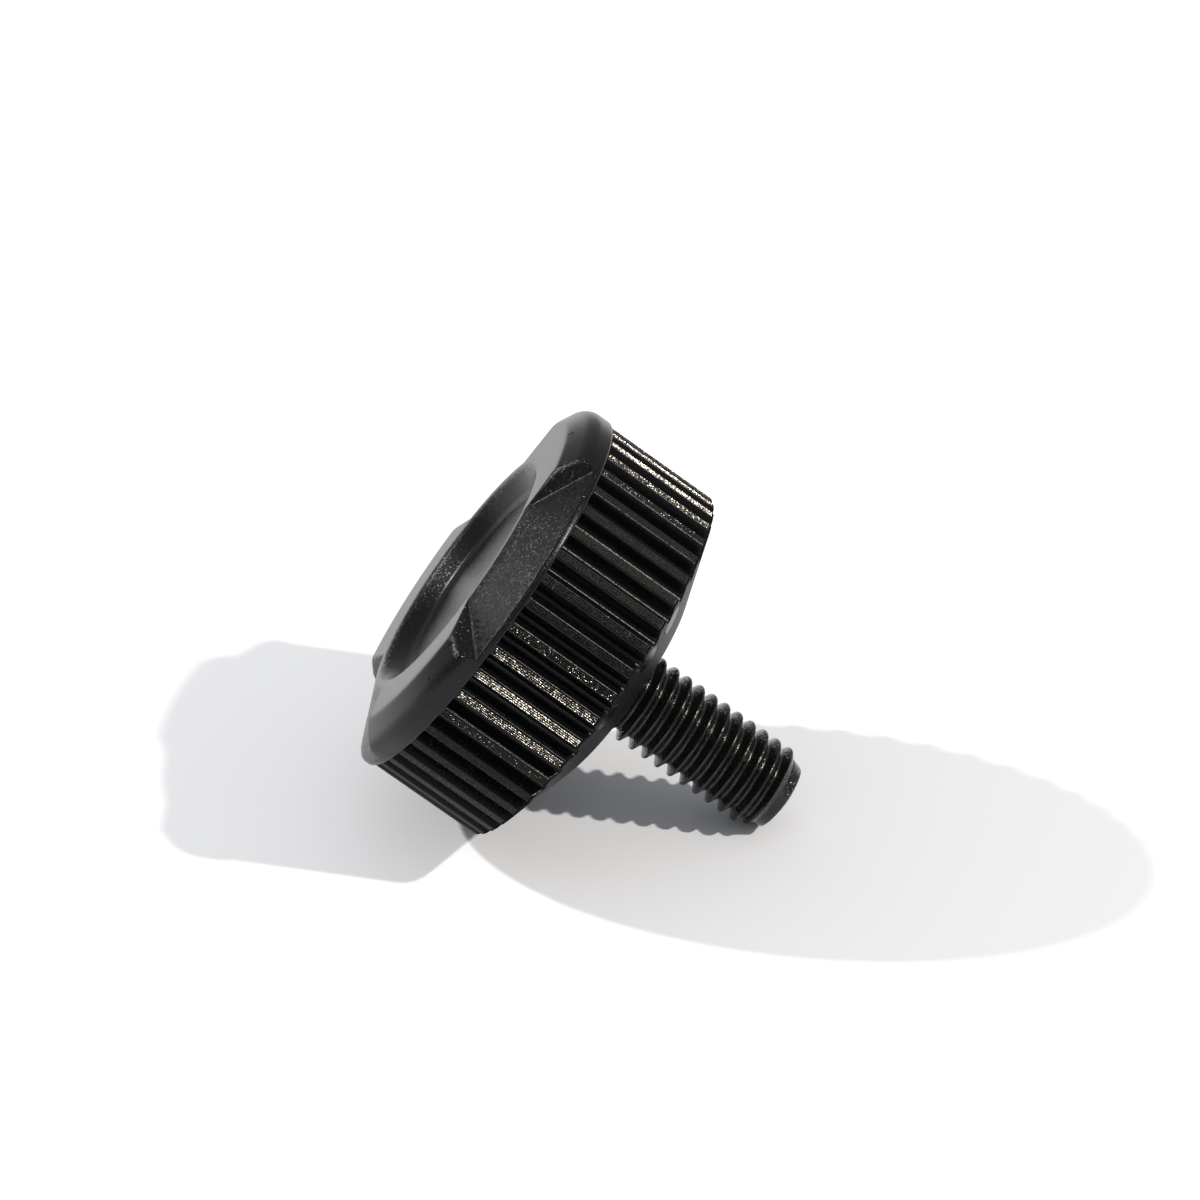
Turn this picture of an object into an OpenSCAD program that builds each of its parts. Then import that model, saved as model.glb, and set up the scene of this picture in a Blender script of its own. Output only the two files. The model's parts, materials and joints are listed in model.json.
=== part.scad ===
// Thumb screw: a fluted head with three finger lobes, moulded onto an M6 stud.
// Millimetres. Each piece is drawn about its own axis: height 0 is the bearing face, the head
// rises above it and the stud hangs below it. lying() then lays the screw down as it comes to
// rest, on the corners of two ribs and on the point of the stud.

/* [Head] */
// Diameter over the cap's lip
lip_d = 26.2; // [22:0.1:34]
// Height of the head, from the bearing face to the tops of the lobes
head_h = 12.45; // [11.6:0.05:16]
// Height of the cap, from its underside to the tops of the lobes
cap_h = 2.37; // [1.7:0.01:3.2]
// How far the lip stands out over the ribs
lip_overhang = 0.18; // [0.05:0.01:0.6]
// Diameter of the flat bearing face
face_d = 14.6; // [9:0.1:18]
// Rise of the underside, from the bearing face out to the ribs, in degrees
underside_rise = 20.4; // [4:0.1:32]

/* [Ribs] */
// Number of ribs round the skirt
rib_count = 45; // [24:1:56]
// Width of each rib's crest
crest_w = 0.65; // [0.3:0.05:1]
// Depth of the grooves between the ribs
groove_depth = 0.9; // [0.4:0.05:1.2]
// Radius of the bottom of each groove
groove_root_r = 0.3; // [0.15:0.01:0.38]

/* [Cap] */
// Width of the rounded and bevelled edge, from the lip in to the flat tops of the lobes
edge_w = 1.7; // [1.3:0.1:2.6]
// Fall of the bevel, in degrees
bevel_fall = 28.4; // [15:0.1:35]
// Radius of the rounding from the bevel into the lip
lip_round = 1; // [0.2:0.1:1.2]
// Number of lobes, with a finger notch between each two
lobe_count = 3; // [2:1:5]
// Width of each lobe across its top
lobe_w = 10.6; // [5:0.1:13]
// Draft of the lobes' side walls, in degrees
lobe_draft = 18.5; // [0:0.5:30]
// Height of the lip where a notch meets it
notch_lip_h = 0.45; // [0.2:0.05:1]
// Width of the flat land between the end of a notch and the dish
land_w = 0.3; // [0.1:0.05:1]

/* [Dish] */
// Diameter of the dish in the top, where its rim starts to round over
dish_d = 17; // [12:0.1:18.5]
// Depth of the dish
dish_depth = 1.3; // [0.3:0.05:2]
// Slope of the dish's wall, in degrees
dish_slope = 48; // [30:1:75]
// Radius of the roundings at the dish's rim and floor
dish_round = 0.8; // [0.2:0.05:1]

/* [Stud] */
// Diameter over the crests of the M6 thread
thread_d = 5.9; // [4.9:0.05:7.9]
// Length of the stud below the bearing face
stud_l = 13; // [8:0.5:40]
// Length of the plain point below the thread
point_l = 1.4; // [1:0.1:3]
// Depth by which the thread runs out to the point, at 45 degrees
runout_step = 0.5; // [0.3:0.05:0.7]
// Narrowing of the point from there to its rim, on each side
point_taper = 0.2; // [0:0.05:0.5]
// Width of the chamfer between the rim and the flat end
end_chamfer_w = 0.75; // [0.2:0.05:1]
// Height of that chamfer
end_chamfer_h = 0.22; // [0.1:0.01:0.28]

/* [Anchor] */
// Depth from the thread's crests to its pitch line, where the neck inside the head stands
neck_step = 0.275; // [0.1:0.005:0.4]
// Depth to which the full thread diameter enters the head
full_depth = 0.1; // [0.05:0.01:0.14]
// Height of the hexagonal anchor's underside above the bearing face
anchor_z = 4; // [2:0.1:5]
// Width of the anchor across its flats
anchor_af = 10; // [8:0.1:13]
// Thickness of the anchor
anchor_h = 4; // [2:0.1:5]
// Gap between the stud and the head moulded round it
mould_gap = 0; // [0:0.01:0.05]

/* [Lying] */
// Turn of the head about its axis, from the direction of the surface to the nearest notch
notch_turn = 16; // [-60:1:60]

/* [Hidden] */
// Overshoot of the cutting shapes
over = 1;

lip_r = lip_d / 2;
crest_r = lip_r - lip_overhang;
skirt_h = head_h - cap_h;
face_r = face_d / 2;
dish_r = dish_d / 2;
// Height at which the rising underside leaves the ribs
rib_foot = (crest_r - face_r) * tan(underside_rise);

// Centre height of the lip's rounding, which the bevel touches
round_z = head_h - (edge_w - lip_round) * tan(bevel_fall) - lip_round / cos(bevel_fall);
notch_z = skirt_h + notch_lip_h;
notch_inner_r = dish_r + land_w;

rib_pitch = 360 / rib_count;
groove_w = 2 * crest_r * sin(rib_pitch / 2) - crest_w;
// Lean of a groove's flanks, which run from the crest corners to touch the rounded bottom
flank_rise = groove_depth - groove_root_r;
flank_lean = acos(groove_root_r / norm([groove_w / 2, flank_rise])) - atan(2 * flank_rise / groove_w);

dish_z = head_h - dish_depth;
// Straight part of the dish's wall, and the radius at which its floor starts
wall_l = (dish_depth - 2 * dish_round * (1 - cos(dish_slope))) / sin(dish_slope);
floor_r = dish_r - 2 * dish_round * sin(dish_slope) - wall_l * cos(dish_slope);

thread_r = thread_d / 2;
neck_r = thread_r - neck_step;
thread_end = -stud_l + point_l;
point_r = thread_r - runout_step;
rim_r = point_r - point_taper;
rim_z = -stud_l + end_chamfer_h;

// At rest the screw stands on the inner crest corners of the two lowest ribs and on the point's rim.
foot_turn = rib_pitch / 2 - asin(crest_w / 2 / crest_r);
foot_r = crest_r * cos(foot_turn);
// Angle of the axis above the surface
rest_tilt = atan((foot_r - rim_r) / (rib_foot - rim_z));
rest_z = foot_r * cos(rest_tilt) - rib_foot * sin(rest_tilt);
// The head reaches furthest back at a lobe's corner beside the lowest notch.
corner_turn = notch_turn - 180 / lobe_count + asin(lobe_w / 2 / lip_r);
corner_r = (lip_r - lip_round + lip_round * sin(bevel_fall)) * cos(corner_turn);
corner_z = round_z + lip_round * cos(bevel_fall);
reach_back = corner_r * sin(rest_tilt) + corner_z * cos(rest_tilt);
reach_front = rim_r * sin(rest_tilt) - rim_z * cos(rest_tilt);
rest_x = (reach_back - reach_front) / 2;

// Points along an arc from angle a0 to angle a1, centre (x, y)
function arc(x, y, r, a0, a1, steps = 6) =
    [for (i = [0:steps]) let (a = a0 + (a1 - a0) * i / steps) [x + r * cos(a), y + r * sin(a)]];

// Lays a piece down: its axis tilts by rest_tilt and its +X side turns to the surface.
module lying() {
    translate([rest_x, 0, rest_z])
        rotate([0, rest_tilt - 90, 0])
            rotate([0, 0, 180])
                children();
}

// Everything below the notch floors: skirt, lip and the floors' cone, without the grooves
module base_form() {
    rotate_extrude($fn = 180)
        polygon([
            [0, 0],
            [face_r, 0],
            [crest_r, rib_foot],
            [crest_r, skirt_h],
            [lip_r, skirt_h],
            [lip_r, notch_z],
            [notch_inner_r, head_h],
            [0, head_h]
        ]);
}

// The whole round cap, with its lip rounding, bevel and flat top
module cap_form() {
    rotate_extrude($fn = 180)
        polygon(concat(
            [[0, skirt_h], [lip_r, skirt_h]],
            arc(lip_r - lip_round, round_z, lip_round, 0, 90 - bevel_fall),
            [[lip_r - edge_w, head_h], [0, head_h]]
        ));
}

// One lobe: a parallel bar with drafted sides, from the axis out past the lip
module lobe_bar() {
    foot_w = lobe_w + 2 * (head_h - skirt_h) * tan(lobe_draft);
    rotate([90, 0, 90])
        linear_extrude(height = lip_r + over)
            polygon([
                [-foot_w / 2, skirt_h],
                [foot_w / 2, skirt_h],
                [lobe_w / 2, head_h],
                [-lobe_w / 2, head_h]
            ]);
}

module lobes() {
    intersection() {
        cap_form();
        union() {
            for (i = [0:lobe_count - 1])
                rotate([0, 0, notch_turn + (i + 0.5) * 360 / lobe_count])
                    lobe_bar();
        }
    }
}

module dish() {
    rotate_extrude($fn = 120)
        polygon(concat(
            [[0, dish_z], [floor_r, dish_z]],
            arc(floor_r, dish_z + dish_round, dish_round, 270, 270 + dish_slope),
            arc(dish_r, head_h - dish_round, dish_round, 90 + dish_slope, 90),
            [[dish_r, head_h + over], [0, head_h + over]]
        ));
}

// One groove in section, pointing along +X, open beyond the rib crests
module groove_outline() {
    root_x = crest_r - groove_depth + groove_root_r;
    out_y = groove_w / 2 + over * tan(flank_lean);
    polygon(concat(
        [[crest_r + over, out_y]],
        arc(root_x, 0, groove_root_r, 90 + flank_lean, 270 - flank_lean, 4),
        [[crest_r + over, -out_y]]
    ));
}

// The grooves run from the open underside up to the cap. One of them faces the surface.
module grooves() {
    translate([0, 0, -over])
        linear_extrude(height = skirt_h + over)
            for (i = [0:rib_count - 1])
                rotate(i * rib_pitch)
                    groove_outline();
}

// The part of the stud inside the head: full thread diameter at the mouth, neck and hexagon
module anchor(gap = 0) {
    translate([0, 0, -over])
        cylinder(h = full_depth + over, r = thread_r + gap, $fn = 72);
    translate([0, 0, full_depth])
        cylinder(h = neck_step, r1 = thread_r + gap, r2 = neck_r + gap, $fn = 72);
    translate([0, 0, full_depth])
        cylinder(h = anchor_z - full_depth + gap, r = neck_r + gap, $fn = 72);
    translate([0, 0, anchor_z - gap])
        cylinder(h = anchor_h + 2 * gap, r = (anchor_af / 2 + gap) / cos(30), $fn = 6);
}

module grip_head() {
    color("#26282a")
        lying()
            difference() {
                union() {
                    base_form();
                    lobes();
                }
                grooves();
                dish();
                anchor(gap = mould_gap);
            }
}

module threaded_stud() {
    color("#17181a")
        lying()
            union() {
                anchor();
                rotate_extrude($fn = 72)
                    polygon([
                        [0, 0],
                        [thread_r, 0],
                        [thread_r, thread_end],
                        [point_r, thread_end - runout_step],
                        [rim_r, rim_z],
                        [rim_r - end_chamfer_w, -stud_l],
                        [0, -stud_l]
                    ]);
            }
}

grip_head();
threaded_stud();
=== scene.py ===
"""Thumb screw: a fluted nylon head with three finger lobes, moulded onto a black M6 stud.

Both pieces are drawn about the screw's own axis, in millimetres. Height 0 is the bearing face,
the head rises above it and the stud hangs below it. One matrix then lays them down as the
screw comes to rest.
"""

import json
import math

import bpy
import numpy as np
from mathutils import Matrix, Vector


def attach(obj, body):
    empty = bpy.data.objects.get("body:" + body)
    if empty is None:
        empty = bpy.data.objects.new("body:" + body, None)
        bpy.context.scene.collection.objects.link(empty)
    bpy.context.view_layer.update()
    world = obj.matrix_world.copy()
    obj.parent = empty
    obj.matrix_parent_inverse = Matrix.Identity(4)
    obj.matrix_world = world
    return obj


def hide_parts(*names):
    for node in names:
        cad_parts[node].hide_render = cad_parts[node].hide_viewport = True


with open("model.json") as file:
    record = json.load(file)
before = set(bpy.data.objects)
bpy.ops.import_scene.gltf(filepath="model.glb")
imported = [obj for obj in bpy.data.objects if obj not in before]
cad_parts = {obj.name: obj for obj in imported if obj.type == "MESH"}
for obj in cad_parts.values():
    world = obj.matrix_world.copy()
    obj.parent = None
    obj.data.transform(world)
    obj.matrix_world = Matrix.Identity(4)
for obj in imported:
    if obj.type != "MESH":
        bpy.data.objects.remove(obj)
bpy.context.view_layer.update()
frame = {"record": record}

MM = 0.001

# ---------------------------------------------------------------- sizes of the head, in mm
LIP_R = 13.1
HEAD_H = 12.45
SKIRT_H = 10.08
CREST_R = 12.92
FACE_R = 7.3
UNDERSIDE_RISE = math.radians(20.4)
RIBS = 45
CREST_W = 0.65
GROOVE_DEPTH = 0.9
GROOVE_ROOT_R = 0.3
EDGE_W = 1.7
BEVEL_FALL = math.radians(28.4)
LIP_ROUND = 1.0
ROUND_Z = HEAD_H - (EDGE_W - LIP_ROUND) * math.tan(BEVEL_FALL) - LIP_ROUND / math.cos(BEVEL_FALL)
LOBE_W = 10.6
LOBE_DRAFT = math.radians(18.5)
NOTCH_TURN = 16
NOTCH_Z = 10.53
NOTCH_INNER_R = 8.8
NOTCH_RISE = (HEAD_H - NOTCH_Z) / (LIP_R - NOTCH_INNER_R)
DISH_R = 8.5
DISH_DEPTH = 1.3
DISH_SLOPE = math.radians(48)
DISH_ROUND = 0.8
DISH_FOOT = 1.4
DISH_EASE = math.radians(30)
DISH_BEND = 0.5
DISH_SAG = 0.1

# Small roundings that the mould leaves on its edges
RIB_CORNER = 0.1
FURROW_W = 0.13
FURROW_SLOPE = math.radians(47.7)
FOOT_CORNER = 0.2
GROOVE_FOOT = 0.12
FACE_EASE = 0.16
LIP_CORNER = 0.1
LOBE_EDGE = 0.6
LOBE_FOOT = 0.15
NOTCH_EDGE = 0.2

# Marks of the mould's pins on the underside
PIN_R = 11.4
PIN_HALF = 0.95
PIN_TURNS = (109.4, 131.4, 146.4)
# Depth of the small dents, in parts of the mould's grain
DENT_DEPTH = 5.0

# ---------------------------------------------------------------- sizes of the stud, in mm
THREAD_R = 2.945
ROOT_R = 2.38
PITCH = 1.0
THREAD_START = -1.783 - 119.88 / 360
THREAD_END = -11.6
POINT_R = 2.45
RIM_R = 2.25
RIM_Z = -12.78
END_R = 1.5
STUD_END = -13.0
NECK_R = 2.675
MOUTH_H = 0.1
ANCHOR_Z = 4.0
ANCHOR_AF = 10.0
ANCHOR_TOP = 8.0
STUD_COLUMNS = 96


# ---------------------------------------------------------------- how the screw lies

mounts = {m["name"]: m for m in frame["record"]["mounts"]}
up_axis = -Vector(mounts["bearing_face"]["axis"]).normalized()
side = Vector((0, -1, 0))
lying = Matrix((side.cross(up_axis), side, up_axis)).transposed().to_4x4()
lying.translation = Vector(mounts["bearing_face"]["pos_m"])


# Finishes of the head's faces: moulded, furrowed rib crests and the underside
MOULDED, RIBBED, UNDERSIDE = range(3)


def polar(r, angle, z):
    """Points in mm from radius, angle in radians and height; any of them may be one number."""
    r, angle, z = np.broadcast_arrays(r, angle, z)
    return np.stack([r * np.cos(angle), r * np.sin(angle), z], axis=-1).astype(float)


def build_skin(name, points, faces, marks=None, finish=None):
    """A smooth closed mesh from quads in mm, laid down. Larger faces hold its normals flat.

    A quad takes another material where all its corners have that finish. Ribbed ones keep their
    own normal.
    """
    keys = np.round(points * 1e5).astype(np.int64)
    _, first, merged = np.unique(keys, axis=0, return_index=True, return_inverse=True)
    quads = merged.ravel()[faces]
    points = points[first]
    finish = np.zeros(len(points), int) if finish is None else finish[first]
    slots = np.where(np.ptp(finish[quads], axis=1) == 0, finish[quads[:, 0]], 0)
    flat = slots == RIBBED
    p = points[quads]
    face_normal = np.cross(p[:, 2] - p[:, 0], p[:, 3] - p[:, 1])
    length = np.linalg.norm(face_normal, axis=1, keepdims=True)
    weighted = face_normal * np.sqrt(length) * ~flat[:, None]
    face_normal /= np.maximum(length, 1e-12)
    normals = np.zeros_like(points)
    for corner in range(4):
        repeated = quads[:, corner] == quads[:, corner - 1]
        np.add.at(normals, quads[~repeated, corner], weighted[~repeated])
    normals /= np.maximum(np.linalg.norm(normals, axis=1, keepdims=True), 1e-12)
    kept, corner_normals, kept_slots = [], [], []
    for quad, slot, own in zip(quads.tolist(), slots.tolist(), face_normal):
        corners = [v for i, v in enumerate(quad) if v != quad[i - 1]]
        if len(set(corners)) == len(corners) and len(corners) > 2:
            kept.append(corners)
            kept_slots.append(slot)
            corner_normals.extend([own] * len(corners) if slot == RIBBED else normals[corners])
    turn = np.array(lying.to_3x3()).T
    mesh = bpy.data.meshes.new(name)
    mesh.from_pydata((points * MM @ turn + np.array(lying.translation)).tolist(), [], kept)
    for mark, values in (marks or {}).items():
        attribute = mesh.attributes.new(mark, "FLOAT", "POINT")
        attribute.data.foreach_set("value", values[first].astype(np.float32))
    mesh.shade_smooth()
    mesh.polygons.foreach_set("material_index", kept_slots)
    mesh.normals_split_custom_set((np.array(corner_normals) @ turn).tolist())
    piece = bpy.data.objects.new(name, mesh)
    bpy.context.scene.collection.objects.link(piece)
    return piece


def ring_faces(rows, columns):
    """Quads between each two rings of a stack of rings that have the same number of points."""
    i, j = np.meshgrid(np.arange(rows - 1), np.arange(columns), indexing="ij")
    right = (j + 1) % columns
    quads = [i * columns + j, i * columns + right, (i + 1) * columns + right, (i + 1) * columns + j]
    return np.stack(quads, axis=-1).reshape(-1, 4)


# ---------------------------------------------------------------- thread

# One pitch of the thread in section: distance along the axis from a crest's middle, and radius
THREAD_SECTION = [
    (0.0, THREAD_R), (0.055, THREAD_R), (0.09, THREAD_R - 0.02), (0.24, 2.665),
    (0.385, ROOT_R + 0.035), (0.43, ROOT_R + 0.008), (0.5, ROOT_R),
]


def section_stations():
    """Stations along one whole pitch, from a crest to just before the next one."""
    half = [s for s, _ in THREAD_SECTION]
    return half + [PITCH - s for s in half[-2:0:-1]]


def thread_radius(angle, z):
    """Radius of the threaded part where the turn and the height are given."""
    phase = np.abs((z - THREAD_START - angle / math.tau + 0.5) % PITCH - 0.5)
    helix = np.interp(phase, [s for s, _ in THREAD_SECTION], [r for _, r in THREAD_SECTION])
    # The thread fades into the point over its last turn, and the lead-in chamfer cuts its crests.
    filled = np.interp(z, [-12.15, -11.35], [POINT_R, ROOT_R])
    chamfer = np.interp(z, [THREAD_END - 0.5, THREAD_END], [POINT_R, THREAD_R])
    return np.minimum(np.maximum(helix, filled), chamfer)


def build_stud():
    columns = STUD_COLUMNS
    turn = np.arange(columns) * math.tau / columns
    low, high = THREAD_END - 0.5, 0.0
    stations = section_stations()
    per_turn = len(stations)
    turns = range(-14, 4)
    heights = np.array([k * PITCH + s for k in turns for s in stations]) + THREAD_START
    z = np.clip(heights[:, None] + turn[None, :] / math.tau * PITCH, low, high)
    helix = polar(thread_radius(turn[None, :], z), turn[None, :], z).reshape(-1, 3)
    rows = len(heights)
    faces = []
    for i in range(rows - 1 - per_turn):
        for j in range(columns):
            a = i * columns + j
            b = a + 1 if j < columns - 1 else (i + per_turn) * columns
            faces.append([a, b, b + columns, a + columns])
    point = [(0.001, STUD_END), (END_R * 0.5, STUD_END),
             (END_R - 0.06, STUD_END), (END_R + 0.06, STUD_END + 0.02),
             (RIM_R - 0.12, RIM_Z - 0.035), (RIM_R - 0.03, RIM_Z + 0.01), (RIM_R + 0.005, RIM_Z + 0.08),
             (POINT_R - 0.02, low - 0.08), (POINT_R, low)]
    tip = np.concatenate([polar(r, turn, z0) for r, z0 in point])
    tip_faces = ring_faces(len(point), columns)
    mouth = thread_radius(turn, 0.0)
    hexagon = ANCHOR_AF / 2 / np.cos((turn + math.pi / 6) % (math.pi / 3) - math.pi / 6)
    shaft = [polar(mouth, turn, 0.0), polar(mouth, turn, MOUTH_H), polar(NECK_R, turn, 0.375),
             polar(NECK_R, turn, ANCHOR_Z), polar(hexagon, turn, ANCHOR_Z), polar(hexagon, turn, ANCHOR_TOP),
             polar(0.001, turn, ANCHOR_TOP)]
    top = np.concatenate(shaft)
    top_faces = ring_faces(len(shaft), columns)
    points = np.concatenate([helix, tip, top])
    faces = np.concatenate([np.array(faces), tip_faces + len(helix), top_faces + len(helix) + len(tip)])
    return build_skin("black_stud", points, faces)


# ---------------------------------------------------------------- ribs

def rib_outline():
    """Turn and radius from the middle of a crest to the middle of the groove beside it."""
    pitch = math.tau / RIBS
    half_groove = CREST_R * math.sin(pitch / 2) - CREST_W / 2
    rise = GROOVE_DEPTH - GROOVE_ROOT_R
    lean = math.acos(GROOVE_ROOT_R / math.hypot(half_groove, rise)) - math.atan(rise / half_groove)
    out = np.array([math.cos(lean), math.sin(lean)])
    # The groove's flank, from the corner of the crest down to the rounded bottom
    top = np.array([CREST_R, half_groove])
    reach = top @ out
    corner = top - out * (reach - math.sqrt(reach ** 2 - top @ top + CREST_R ** 2))
    root = np.array([CREST_R - GROOVE_DEPTH + GROOVE_ROOT_R, 0.0])
    bend = math.pi / 2 - lean
    back = RIB_CORNER * math.tan(bend / 2)
    crest_side = corner + np.array([-corner[1], corner[0]]) / CREST_R * back
    flank_side = corner - out * back
    middle = corner + (crest_side + flank_side - 2 * corner) / 2 * 0.52
    # Fine furrows along the crest, from its middle out to its corner
    crest_turn = pitch / 2
    side_turn = math.atan2(crest_side[1], crest_side[0])
    steps = 2 * round((crest_turn - side_turn) * CREST_R / FURROW_W)
    depth = (crest_turn - side_turn) * CREST_R / steps * math.tan(FURROW_SLOPE)
    path = []
    for i in range(steps):
        turn = crest_turn + (side_turn - crest_turn) * i / steps
        path.append(np.array([math.cos(turn), math.sin(turn)]) * (CREST_R - depth * (i % 2)))
    path += [crest_side, middle, flank_side]
    starts = math.pi / 2 + lean
    arc = [root + GROOVE_ROOT_R * np.array([math.cos(a), math.sin(a)])
           for a in np.linspace(starts, math.pi, 3)]
    path += [(flank_side + arc[0]) / 2] + arc
    turns = [pitch / 2 - math.atan2(p[1], p[0]) for p in path]
    return np.array(turns), np.array([np.linalg.norm(p) for p in path])


def rib_columns():
    """Turn, radius and whether it is on a crest, for every column from the middle of a lobe."""
    turns, radii = rib_outline()
    pitch = math.tau / RIBS
    one_turn = np.concatenate([turns, pitch - turns[-2:0:-1]])
    one_radius = np.concatenate([radii, radii[-2:0:-1]])
    crest = turns * CREST_R < CREST_W / 2 - 0.03
    one_crest = np.concatenate([crest, crest[-2:0:-1]])
    lobe_middle = math.radians(NOTCH_TURN + 60)
    turn = np.concatenate([lobe_middle + k * pitch + one_turn for k in range(RIBS)])
    return turn, np.tile(one_radius, RIBS), np.tile(one_crest, RIBS)


# ---------------------------------------------------------------- cap

def soft_lower(a, b, softness):
    """The lower of two heights, with the ridge between them rounded."""
    return -softness * np.logaddexp(-a / softness, -b / softness)


def lobe_height(r):
    """Height of a lobe's top at a radius, from its flat out to its rounded edge."""
    bevel = HEAD_H - (r - LIP_R + EDGE_W) * math.tan(BEVEL_FALL)
    rounding = ROUND_Z + math.sqrt(max(LIP_ROUND ** 2 - (r - LIP_R + LIP_ROUND) ** 2, 0))
    on_round = r > LIP_R - LIP_ROUND + LIP_ROUND * math.sin(BEVEL_FALL)
    return rounding if on_round else soft_lower(bevel, HEAD_H + 0.004, 0.06)


def notch_height(r):
    """Height of a notch's floor at a radius, from its rounded outer edge up to the land."""
    slope = math.atan(NOTCH_RISE)
    bend = math.pi / 2 - slope
    back = NOTCH_EDGE * math.tan(bend / 2)
    cos_a = 1 - (LIP_R - r) / NOTCH_EDGE
    if cos_a > math.cos(bend):
        return NOTCH_Z - back + NOTCH_EDGE * math.sqrt(max(1 - cos_a ** 2, 0))
    return soft_lower(NOTCH_Z + (LIP_R - r) * NOTCH_RISE, HEAD_H + 0.004, 0.04)


TOP_COLUMNS = 62
WALL_BEND = math.pi / 2 - LOBE_DRAFT
WALL_STEPS = 6
HALF_SECTOR = 150


def wall_section(height):
    """Distance outwards and drop of a lobe's side wall, over both of its roundings."""
    edge, foot = min(LOBE_EDGE, 0.5 * height), min(LOBE_FOOT, 0.3 * height)
    back, front = (r * math.tan(WALL_BEND / 2) for r in (edge, foot))
    run = height * math.tan(LOBE_DRAFT)
    turns = np.linspace(0, WALL_BEND, WALL_STEPS)
    over = [(-back + edge * math.sin(a), edge * (1 - math.cos(a))) for a in turns]
    under = [(run + front - foot * math.sin(a), height - foot * (1 - math.cos(a))) for a in turns[::-1]]
    a, b = over[-1], under[0]
    wall = [tuple(np.array(a) + (np.array(b) - np.array(a)) * s) for s in (0.33, 0.67)]
    return np.array(over + wall + under)


def cap_row(r, lobe_z, notch_z, even=0.0):
    """Turn, height and texture round one ring of the cap, from the middle of a lobe."""
    height = max(lobe_z - notch_z, 0.0)
    drawn = max(height, 0.1)
    section = wall_section(drawn)
    top_y = LOBE_W / 2 + (HEAD_H - lobe_z) * math.tan(LOBE_DRAFT)
    wall_y = top_y + section[:, 0]
    wall_z = lobe_z - section[:, 1] * height / drawn
    wall_turn = np.arcsin(np.clip(wall_y / r, -0.95, 0.95))
    rest = HALF_SECTOR + 1 - TOP_COLUMNS - len(section)
    turn = np.concatenate([
        np.linspace(0, wall_turn[0], TOP_COLUMNS, endpoint=False),
        wall_turn,
        np.linspace(wall_turn[-1], math.pi / 3, rest + 1)[1:],
    ])
    turn = turn * (1 - even) + np.linspace(0, math.pi / 3, HALF_SECTOR + 1) * even
    z = np.concatenate([np.full(TOP_COLUMNS, lobe_z), wall_z, np.full(rest, notch_z)])
    one_turn = np.concatenate([turn, math.tau / 3 - turn[-2:0:-1]])
    one_z = np.concatenate([z, z[-2:0:-1]])
    texture = np.concatenate([np.zeros(TOP_COLUMNS), np.linspace(0.5, 1, len(section)), np.ones(rest)])
    texture *= min(height / 0.3, 1)
    one_texture = np.concatenate([texture, texture[-2:0:-1]])
    lobe_middle = math.radians(NOTCH_TURN + 60)
    turns = np.concatenate([lobe_middle + k * math.tau / 3 + one_turn for k in range(3)])
    return turns, np.tile(one_z, 3), np.tile(one_texture, 3)


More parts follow.
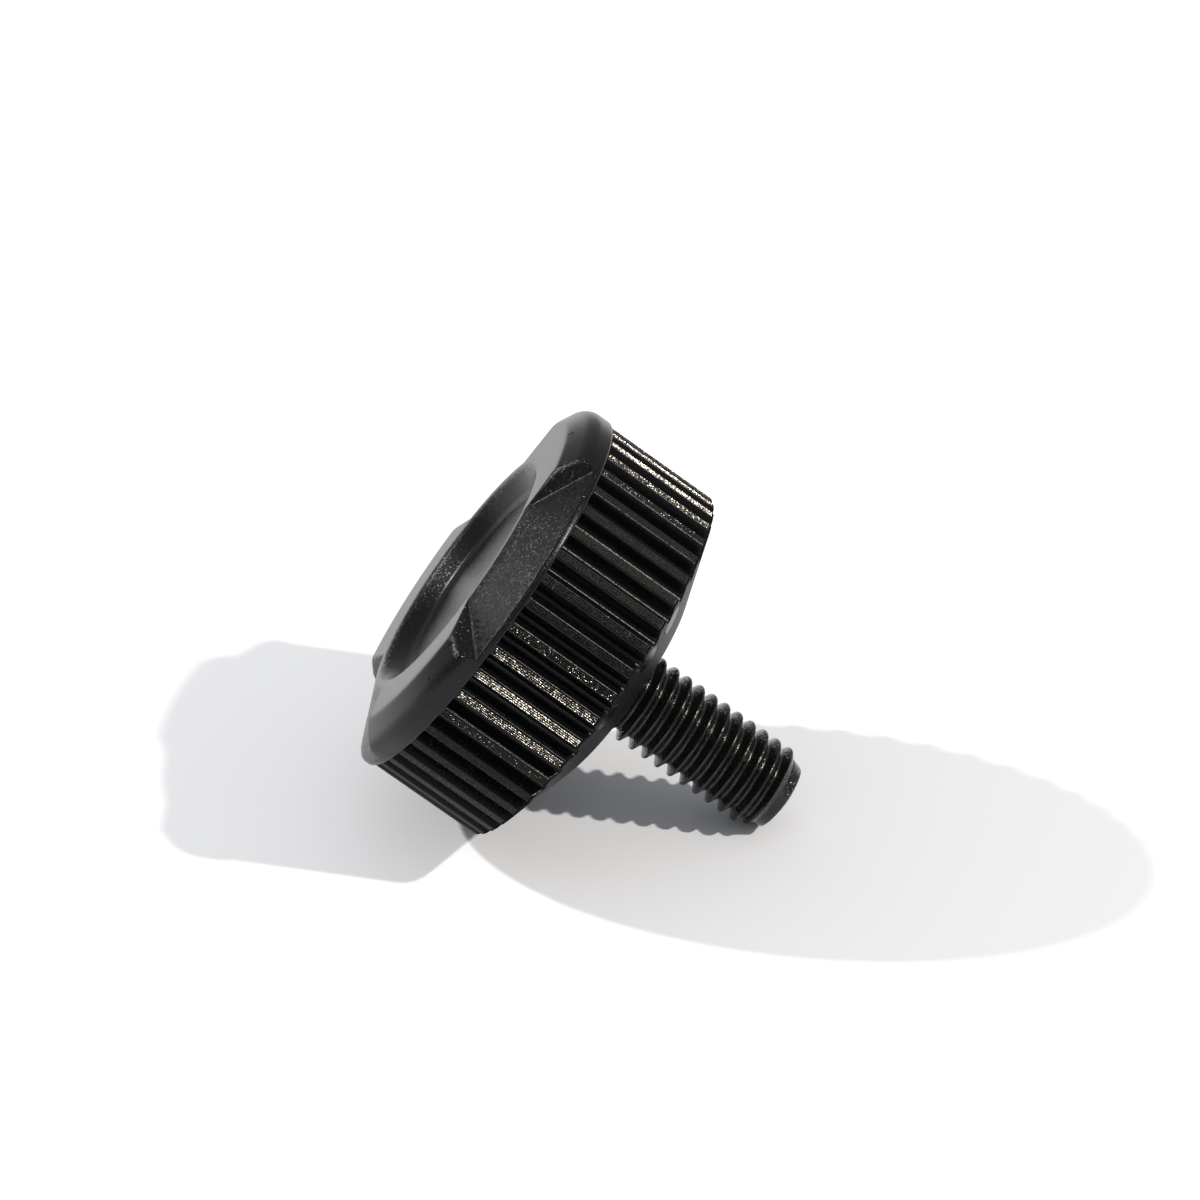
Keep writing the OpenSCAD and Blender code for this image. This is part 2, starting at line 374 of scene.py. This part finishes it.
def build_head():
    rib_turn, rib_r, on_crest = rib_columns()
    count = len(rib_turn)
    rings, textures, finishes = [], [], []

    def add(r, turn, z, texture, finish=MOULDED):
        rings.append(polar(r, turn, z))
        textures.append(np.broadcast_to(texture, (count,)))
        finishes.append(np.broadcast_to(finish, (count,)))

    # The mould's inside: anchor, neck and the mouth that follows the thread
    hexagon = (ANCHOR_AF / 2 + 0.005) / np.cos((rib_turn + math.pi / 6) % (math.pi / 3) - math.pi / 6)
    mouth = thread_radius(rib_turn, 0.0) + 0.004
    add(0.001, rib_turn, ANCHOR_TOP + 0.005, 0)
    add(hexagon, rib_turn, ANCHOR_TOP + 0.005, 0)
    add(hexagon, rib_turn, ANCHOR_Z - 0.005, 0)
    add(NECK_R + 0.005, rib_turn, ANCHOR_Z - 0.005, 0)
    add(NECK_R + 0.005, rib_turn, 0.375, 0)
    add(mouth, rib_turn, MOUTH_H, 0)
    add(mouth, rib_turn, 0.01, 0)

    # Bearing face and the rising underside
    add(mouth + 0.03, rib_turn, 0.0, 0.2, UNDERSIDE)
    add(3.2, rib_turn, 0.0, 0.2, UNDERSIDE)
    add(5.2, rib_turn, 0.0, 0.2, UNDERSIDE)
    rise = math.tan(UNDERSIDE_RISE)
    add(FACE_R - FACE_EASE, rib_turn, 0.0, 0.2, UNDERSIDE)
    for step in (-0.05, 0.06, 0.17):
        z = -soft_lower(0.0, -step * rise, 0.02) - 0.004
        add(FACE_R + step, rib_turn, z, 0.2, UNDERSIDE)
    corner = np.where(rib_r > CREST_R - 0.2, FOOT_CORNER, GROOVE_FOOT)
    bend = math.pi / 2 - UNDERSIDE_RISE
    back = corner * math.tan(bend / 2)
    edge_r = rib_r - back * math.cos(UNDERSIDE_RISE)
    for share in (0.35, 0.7):
        r = (FACE_R + 0.17) * (1 - share) + edge_r * share
        add(r, rib_turn, (r - FACE_R) * rise, 0.2, UNDERSIDE)
    foot_z = (rib_r - FACE_R) * rise
    for a in np.linspace(0, bend, 5):
        r = rib_r - corner + corner * np.sin(UNDERSIDE_RISE + a)
        z = foot_z + back + corner * (0 - np.cos(UNDERSIDE_RISE + a))
        add(r, rib_turn, z, 0.4, UNDERSIDE)

    # Ribs, then the underside of the lip
    on_ribs = np.where(on_crest, RIBBED, MOULDED)
    add(rib_r, rib_turn, foot_z + back + 0.03, 0.15, on_ribs)
    for z in (4.6, 7.4, SKIRT_H - 0.12):
        add(rib_r, rib_turn, z, 0.15, on_ribs)
    add(rib_r + 0.03, rib_turn, SKIRT_H - 0.03, 0.6)
    add(rib_r + 0.09, rib_turn, SKIRT_H, 0.4)
    add(LIP_R - LIP_CORNER, rib_turn, SKIRT_H, 0.3)
    add(LIP_R - LIP_CORNER * 0.3, rib_turn, SKIRT_H + LIP_CORNER * 0.3, 0)
    add(LIP_R, rib_turn, SKIRT_H + LIP_CORNER, 0)

    # Band, roundings and bevels of the lobes, with the notch floors between them
    floor_edge = notch_height(LIP_R)
    turn, _, _ = cap_row(LIP_R, ROUND_Z, floor_edge)
    add(LIP_R, rib_turn * 0.5 + turn * 0.5, SKIRT_H + 0.16, 0)
    add(LIP_R, turn, SKIRT_H + 0.22, 0)
    radii = [LIP_R - LIP_ROUND + LIP_ROUND * math.cos(math.radians(a)) for a in (0, 9, 17, 25, 34, 43, 52)]
    radii += [LIP_R - LIP_ROUND + LIP_ROUND * math.sin(BEVEL_FALL)]
    radii += [12.3, 12.0, 11.7, 11.55, 11.47, 11.4, 11.33, 11.25]
    radii += [11.0, 10.7, 10.4, 10.1, 9.8, 9.5, 9.25, 9.05, 8.95, 8.87, 8.8, 8.73, 8.62]
    for r in radii:
        lobe_z, floor_z = lobe_height(r), notch_height(r)
        turn, z, texture = cap_row(r, lobe_z, floor_z)
        add(r, turn, z, texture)

    # Dish: rounded rim, wall, rounded foot and a slightly hollow floor
    dish_z = HEAD_H - DISH_DEPTH
    rim_r = DISH_R - DISH_ROUND * math.sin(DISH_SLOPE)
    rim_z = HEAD_H - DISH_ROUND * (1 - math.cos(DISH_SLOPE))
    foot = [(DISH_FOOT * math.sin(a), DISH_FOOT * (1 - math.cos(a))) for a in np.linspace(0, DISH_EASE, 7)]
    foot += [(foot[6][0] + DISH_BEND * (math.sin(a) - math.sin(DISH_EASE)),
              foot[6][1] + DISH_BEND * (math.cos(DISH_EASE) - math.cos(a)))
             for a in (DISH_EASE * 0.5 + DISH_SLOPE * 0.5, DISH_SLOPE)]
    foot_run, foot_rise = foot[-1]
    wall_run = (rim_z - dish_z - foot_rise) / math.tan(DISH_SLOPE)
    floor_r = rim_r - wall_run - foot_run
    profile = [(DISH_R - DISH_ROUND * math.sin(a), HEAD_H - DISH_ROUND * (1 - math.cos(a)))
               for a in np.linspace(0, DISH_SLOPE, 7)]
    profile += [(rim_r - wall_run * s, rim_z + (dish_z + foot_rise - rim_z) * s) for s in (0.2, 0.9)]
    profile += [(floor_r + run, dish_z + up) for run, up in reversed(foot)]
    profile += [(r, dish_z) for r in (6.0, 5.3, 4.4, 3.2, 2.0, 0.8, 0.001)]
    for i, (r, z) in enumerate(profile):
        sag = DISH_SAG * (1 - min(r / floor_r, 1) ** 2)
        turn, _, _ = cap_row(max(r, 8.0), HEAD_H, HEAD_H, even=min(i / 10, 1))
        add(r, turn, z - sag, 0.6 if 1 < i < 6 else 0.1)

    points = np.concatenate(rings)
    marks = {"texture": np.concatenate(textures)}
    return build_skin("lobed_head", points, ring_faces(len(rings), count), marks, np.concatenate(finishes))


# ---------------------------------------------------------------- the two pieces

head = build_head()
stud = build_stud()
for piece, node in ((head, "grip_head"), (stud, "threaded_stud")):
    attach(piece, "root")
    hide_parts(node)


# ---------------------------------------------------------------- materials

def new_material(name):
    material = bpy.data.materials.new(name)
    material.use_nodes = True
    material.node_tree.nodes.clear()
    return material, material.node_tree.nodes, material.node_tree.links


def new_shader(nodes, links):
    """The material's one Principled shader, joined to its output."""
    shader = nodes.new("ShaderNodeBsdfPrincipled")
    links.new(shader.outputs[0], nodes.new("ShaderNodeOutputMaterial").inputs["Surface"])
    return shader


def grain_group():
    """Moulded or plated grain: a bumpy height, a mask of flecks, a chance and a lean for each grain."""
    group = bpy.data.node_groups.new("fine_grain", "ShaderNodeTree")
    face = group.interface
    face.new_socket("Grains per mm", in_out="INPUT", socket_type="NodeSocketFloat")
    face.new_socket("Fleck share", in_out="INPUT", socket_type="NodeSocketFloat")
    face.new_socket("Height", in_out="OUTPUT", socket_type="NodeSocketFloat")
    face.new_socket("Flecks", in_out="OUTPUT", socket_type="NodeSocketFloat")
    face.new_socket("Chance", in_out="OUTPUT", socket_type="NodeSocketFloat")
    face.new_socket("Lean", in_out="OUTPUT", socket_type="NodeSocketVector")
    nodes, links = group.nodes, group.links
    inputs, outputs = nodes.new("NodeGroupInput"), nodes.new("NodeGroupOutput")
    place = nodes.new("ShaderNodeTexCoord")
    scale = nodes.new("ShaderNodeMath")
    scale.operation = "MULTIPLY"
    scale.inputs[1].default_value = 1000
    links.new(inputs.outputs["Grains per mm"], scale.inputs[0])
    grain = nodes.new("ShaderNodeTexNoise")
    grain.inputs["Detail"].default_value = 3
    grain.inputs["Roughness"].default_value = 0.6
    links.new(place.outputs["Object"], grain.inputs["Vector"])
    links.new(scale.outputs[0], grain.inputs["Scale"])
    cells = nodes.new("ShaderNodeTexVoronoi")
    links.new(place.outputs["Object"], cells.inputs["Vector"])
    links.new(scale.outputs[0], cells.inputs["Scale"])
    chosen = nodes.new("ShaderNodeMath")
    chosen.operation = "LESS_THAN"
    apart = nodes.new("ShaderNodeSeparateColor")
    links.new(cells.outputs["Color"], apart.inputs[0])
    links.new(apart.outputs[0], chosen.inputs[0])
    links.new(inputs.outputs["Fleck share"], chosen.inputs[1])
    links.new(grain.outputs["Fac"], outputs.inputs["Height"])
    links.new(chosen.outputs[0], outputs.inputs["Flecks"])
    links.new(apart.outputs[1], outputs.inputs["Chance"])
    links.new(cells.outputs["Color"], outputs.inputs["Lean"])
    return group


grain = grain_group()


def ramp_value(nodes, links, source, low, high):
    """Maps a 0 to 1 value onto low to high."""
    node = nodes.new("ShaderNodeMapRange")
    node.inputs["To Min"].default_value = low
    node.inputs["To Max"].default_value = high
    links.new(source, node.inputs["Value"])
    return node.outputs[0]


def mark_value(nodes, name):
    """The value of a mark that the mesh carries."""
    node = nodes.new("ShaderNodeAttribute")
    node.attribute_name = name
    return node.outputs["Fac"]


def combine(nodes, links, operation, a, b):
    """Two values through one Math node; either may be a number."""
    node = nodes.new("ShaderNodeMath")
    node.operation = operation
    for socket, value in zip(node.inputs, (a, b)):
        if isinstance(value, (int, float)):
            socket.default_value = value
        else:
            links.new(value, socket)
    return node.outputs[0]


def vector_math(nodes, links, operation, *values):
    """One Vector Math node; each value is a socket, a number or a vector."""
    node = nodes.new("ShaderNodeVectorMath")
    node.operation = operation
    for socket, value in zip(node.inputs, values):
        if isinstance(value, bpy.types.NodeSocket):
            links.new(value, socket)
        else:
            socket.default_value = value
    return node.outputs[0]


def grains(nodes, per_mm, share):
    """The grain effect at one size, with a share of flecks."""
    node = nodes.new("ShaderNodeGroup")
    node.node_tree = grain
    node.inputs["Grains per mm"].default_value = per_mm
    node.inputs["Fleck share"].default_value = share
    return node


def colour_flecks(nodes, links, shader, flecks, dark, light):
    """The shader's colour: dark, with lighter flecks."""
    tone = nodes.new("ShaderNodeMix")
    tone.data_type = "RGBA"
    tone.inputs[6].default_value = (*dark, 1)
    tone.inputs[7].default_value = (*light, 1)
    links.new(flecks, tone.inputs[0])
    links.new(tone.outputs[2], shader.inputs["Base Color"])


def leaning_normal(nodes, links, surface, way, amount):
    """The surface's normal, leaning along a vector by an amount."""
    lean = vector_math(nodes, links, "SCALE", way)
    links.new(amount, lean.node.inputs["Scale"])
    return vector_math(nodes, links, "NORMALIZE", vector_math(nodes, links, "ADD", surface, lean))


def spot(nodes, links, turn, r, z, along, across, core=0.85):
    """A mask of a small oval on the head, at a turn in degrees, radius and height in mm.

    It is 1 in its core, and along and across are its half sizes away from the axis and round it.
    """
    middle = lying @ Vector(polar(r, math.radians(turn), z) * MM)
    outwards = lying.to_3x3() @ Vector(polar(1, math.radians(turn), 0))
    place = nodes.new("ShaderNodeTexCoord").outputs["Object"]
    offset = vector_math(nodes, links, "SUBTRACT", place, tuple(middle))
    parts = []
    for way, half in ((outwards, along), (up_axis.cross(outwards), across)):
        share = vector_math(nodes, links, "DOT_PRODUCT", offset, tuple(way / (half * MM)))
        parts.append(share.node.outputs["Value"])
    squares = [combine(nodes, links, "MULTIPLY", part, part) for part in parts]
    distance = combine(nodes, links, "ADD", *squares)
    # Nothing else that lies in line with the spot takes it
    away = vector_math(nodes, links, "DISTANCE", place, tuple(middle)).node.outputs["Value"]
    near = combine(nodes, links, "LESS_THAN", away, 3 * max(along, across) * MM)
    node = nodes.new("ShaderNodeMapRange")
    node.inputs["From Min"].default_value = 1.15
    node.inputs["From Max"].default_value = core
    links.new(distance, node.inputs["Value"])
    return combine(nodes, links, "MULTIPLY", node.outputs[0], near)


def black_nylon():
    """The moulded faces: matt on the lobes and in the dish, with glinting grains in the notches."""
    material, nodes, links = new_material("black_nylon")
    shader = new_shader(nodes, links)
    shader.inputs["IOR"].default_value = 1.33
    mould = grains(nodes, 10, 0.16)
    texture = mark_value(nodes, "texture")
    surface = nodes.new("ShaderNodeNewGeometry").outputs["Normal"]
    every_way = vector_math(nodes, links, "SUBTRACT", mould.outputs["Lean"], (0.5, 0.5, 0.5))
    glinting = combine(nodes, links, "MULTIPLY",
                       ramp_value(nodes, links, mould.outputs["Flecks"], 0.2, 1.7), texture)
    bump = nodes.new("ShaderNodeBump")
    bump.inputs["Distance"].default_value = 0.00003
    height = combine(nodes, links, "MULTIPLY", mould.outputs["Height"],
                     ramp_value(nodes, links, texture, 0.3, 1.0))
    # Small dents: a dash on one lobe's bevel, and specks on the next one's bevel and corner
    dents = spot(nodes, links, 190.5, 11.7, 12.285, 0.26, 0.12, 0.1)
    for turn, r, z, size in ((89.1, 12.4, 11.9, 0.12), (100.9, 11.9, 12.18, 0.15)):
        dents = combine(nodes, links, "ADD", dents, spot(nodes, links, turn, r, z, size, size, 0.1))
    sunk = combine(nodes, links, "MULTIPLY", dents, DENT_DEPTH)
    links.new(combine(nodes, links, "SUBTRACT", height, sunk), bump.inputs["Height"])
    links.new(leaning_normal(nodes, links, surface, every_way, glinting), bump.inputs["Normal"])
    links.new(bump.outputs[0], shader.inputs["Normal"])
    dull = ramp_value(nodes, links, mould.outputs["Height"], 0.2, 0.3)
    bright = combine(nodes, links, "MULTIPLY", mould.outputs["Flecks"], texture)
    shine = combine(nodes, links, "MULTIPLY", bright, 0.12)
    rough = combine(nodes, links, "ADD", combine(nodes, links, "SUBTRACT", dull, shine), dents)
    links.new(rough, shader.inputs["Roughness"])
    colour_flecks(nodes, links, shader, mould.outputs["Flecks"],
                  (0.003, 0.0036, 0.0046), (0.009, 0.0086, 0.008))
    return material


def underside_nylon():
    """The underside: duller, with three round marks where the mould's pins pushed the head out."""
    material, nodes, links = new_material("underside_nylon")
    shader = new_shader(nodes, links)
    shader.inputs["IOR"].default_value = 1.14
    mould = grains(nodes, 9, 0.2)
    pins = None
    for turn in PIN_TURNS:
        pin_z = (PIN_R - FACE_R) * math.tan(UNDERSIDE_RISE)
        pin = spot(nodes, links, turn, PIN_R, pin_z, PIN_HALF, PIN_HALF)
        pins = pin if pins is None else combine(nodes, links, "MAXIMUM", pins, pin)
    bump = nodes.new("ShaderNodeBump")
    bump.inputs["Distance"].default_value = 0.0001
    grainy = combine(nodes, links, "MULTIPLY", mould.outputs["Height"], 0.2)
    links.new(combine(nodes, links, "ADD", grainy, pins), bump.inputs["Height"])
    links.new(bump.outputs[0], shader.inputs["Normal"])
    links.new(ramp_value(nodes, links, pins, 0.4, 0.2), shader.inputs["Roughness"])
    colour_flecks(nodes, links, shader, mould.outputs["Flecks"],
                  (0.003, 0.0034, 0.004), (0.02, 0.019, 0.018))
    return material


def furrowed_nylon():
    """The rib crests: grains that lean a little round the screw's axis, on top of the furrows."""
    material, nodes, links = new_material("furrowed_nylon")
    shader = new_shader(nodes, links)
    shader.inputs["IOR"].default_value = 1.6
    shader.inputs["Specular Tint"].default_value = (1, 0.95, 0.86, 1)
    fine = grains(nodes, 24, 0.25)
    surface = nodes.new("ShaderNodeNewGeometry").outputs["Normal"]
    sideways = vector_math(nodes, links, "CROSS_PRODUCT", tuple(up_axis), surface)
    lean = combine(nodes, links, "MULTIPLY", ramp_value(nodes, links, fine.outputs["Chance"], -1, 1),
                   ramp_value(nodes, links, fine.outputs["Flecks"], 0.17, 0.34))
    links.new(leaning_normal(nodes, links, surface, sideways, lean), shader.inputs["Normal"])
    links.new(ramp_value(nodes, links, fine.outputs["Height"], 0.17, 0.22), shader.inputs["Roughness"])
    colour_flecks(nodes, links, shader, fine.outputs["Flecks"],
                  (0.003, 0.0034, 0.004), (0.026, 0.0235, 0.0195))
    return material


def black_steel():
    """The stud: black oxide, nearly black, with a few grains that catch the light on the thread's crests."""
    material, nodes, links = new_material("black_oxide_steel")
    shader = new_shader(nodes, links)
    shader.inputs["Metallic"].default_value = 0.1
    fine = grains(nodes, 12, 0.2)
    surface = nodes.new("ShaderNodeNewGeometry").outputs["Normal"]
    every_way = vector_math(nodes, links, "SUBTRACT", fine.outputs["Lean"], (0.5, 0.5, 0.5))
    glinting = ramp_value(nodes, links, fine.outputs["Flecks"], 0.12, 0.6)
    bump = nodes.new("ShaderNodeBump")
    bump.inputs["Distance"].default_value = 0.00001
    links.new(fine.outputs["Height"], bump.inputs["Height"])
    links.new(leaning_normal(nodes, links, surface, every_way, glinting), bump.inputs["Normal"])
    links.new(bump.outputs[0], shader.inputs["Normal"])
    links.new(ramp_value(nodes, links, fine.outputs["Height"], 0.14, 0.22), shader.inputs["Roughness"])
    colour_flecks(nodes, links, shader, fine.outputs["Flecks"],
                  (0.006, 0.0058, 0.0055), (0.022, 0.0195, 0.016))
    return material


head.data.materials.append(black_nylon())
head.data.materials.append(furrowed_nylon())
head.data.materials.append(underside_nylon())
stud.data.materials.append(black_steel())


# ---------------------------------------------------------------- floor, light and camera

def white_floor():
    """White paper, whiter to the camera and in reflections than in the light it gives back."""
    material, nodes, links = new_material("white_paper")
    out = nodes.new("ShaderNodeOutputMaterial")
    shader = nodes.new("ShaderNodeBsdfDiffuse")
    path = nodes.new("ShaderNodeLightPath")
    tone = nodes.new("ShaderNodeMix")
    tone.data_type = "RGBA"
    tone.inputs[6].default_value = (0.71, 0.717, 0.73, 1)
    tone.inputs[7].default_value = (1.13, 1.145, 1.185, 1)
    seen = combine(nodes, links, "MAXIMUM", path.outputs["Is Camera Ray"], path.outputs["Is Glossy Ray"])
    links.new(seen, tone.inputs[0])
    links.new(tone.outputs[2], shader.inputs["Color"])
    links.new(shader.outputs[0], out.inputs["Surface"])
    return material


def build_floor():
    mesh = bpy.data.meshes.new("floor")
    reach = 3.0
    corners = [(-reach, -reach, 0), (reach, -reach, 0), (reach, reach, 0), (-reach, reach, 0)]
    mesh.from_pydata(corners, [], [(0, 1, 2, 3)])
    floor = bpy.data.objects.new("floor", mesh)
    bpy.context.scene.collection.objects.link(floor)
    mesh.materials.append(white_floor())


def build_lamp(name, travel_turn, fall, distance, size, power, colour):
    """A round lamp whose light travels towards travel_turn and falls at fall, both in degrees."""
    turn, drop = math.radians(travel_turn), math.radians(fall)
    way = Vector((math.cos(turn) * math.cos(drop), math.sin(turn) * math.cos(drop), -math.sin(drop)))
    light = bpy.data.lights.new(name, "AREA")
    light.shape = "DISK"
    light.size = size
    light.energy = power
    light.color = colour
    lamp = bpy.data.objects.new(name, light)
    lamp.location = Vector((0, 0, 0.01)) - way * distance
    lamp.rotation_mode = "QUATERNION"
    lamp.rotation_quaternion = way.to_track_quat("-Z", "Y")
    bpy.context.scene.collection.objects.link(lamp)


def build_world():
    world = bpy.data.worlds.new("studio")
    world.use_nodes = True
    background = world.node_tree.nodes["Background"]
    background.inputs["Color"].default_value = (0.96, 0.98, 1.0, 1)
    background.inputs["Strength"].default_value = 0.375
    bpy.context.scene.world = world


def build_camera():
    azimuth, elevation = math.radians(8.647), math.radians(29.978)
    aim = Vector((0.866, 2.461, 13.819)) * MM
    back = Vector((math.sin(azimuth) * math.cos(elevation), -math.cos(azimuth) * math.cos(elevation),
                   math.sin(elevation)))
    data = bpy.data.cameras.new("camera")
    data.lens = 199.94
    data.sensor_width = 36
    data.clip_start = 0.01
    camera = bpy.data.objects.new("camera", data)
    camera.location = aim + back * 0.42
    camera.rotation_mode = "QUATERNION"
    camera.rotation_quaternion = (-back).to_track_quat("-Z", "Y")
    bpy.context.scene.collection.objects.link(camera)
    bpy.context.scene.camera = camera


build_floor()
build_world()
build_lamp("left_lamp", -5.35, 37.0, 0.7, 0.022, 2.7, (1, 0.97, 0.93))
build_lamp("right_lamp", 166.5, 43.1, 0.7, 0.022, 2.87, (1, 0.95, 0.88))
build_camera()
bpy.context.scene.view_settings.view_transform = "Standard"
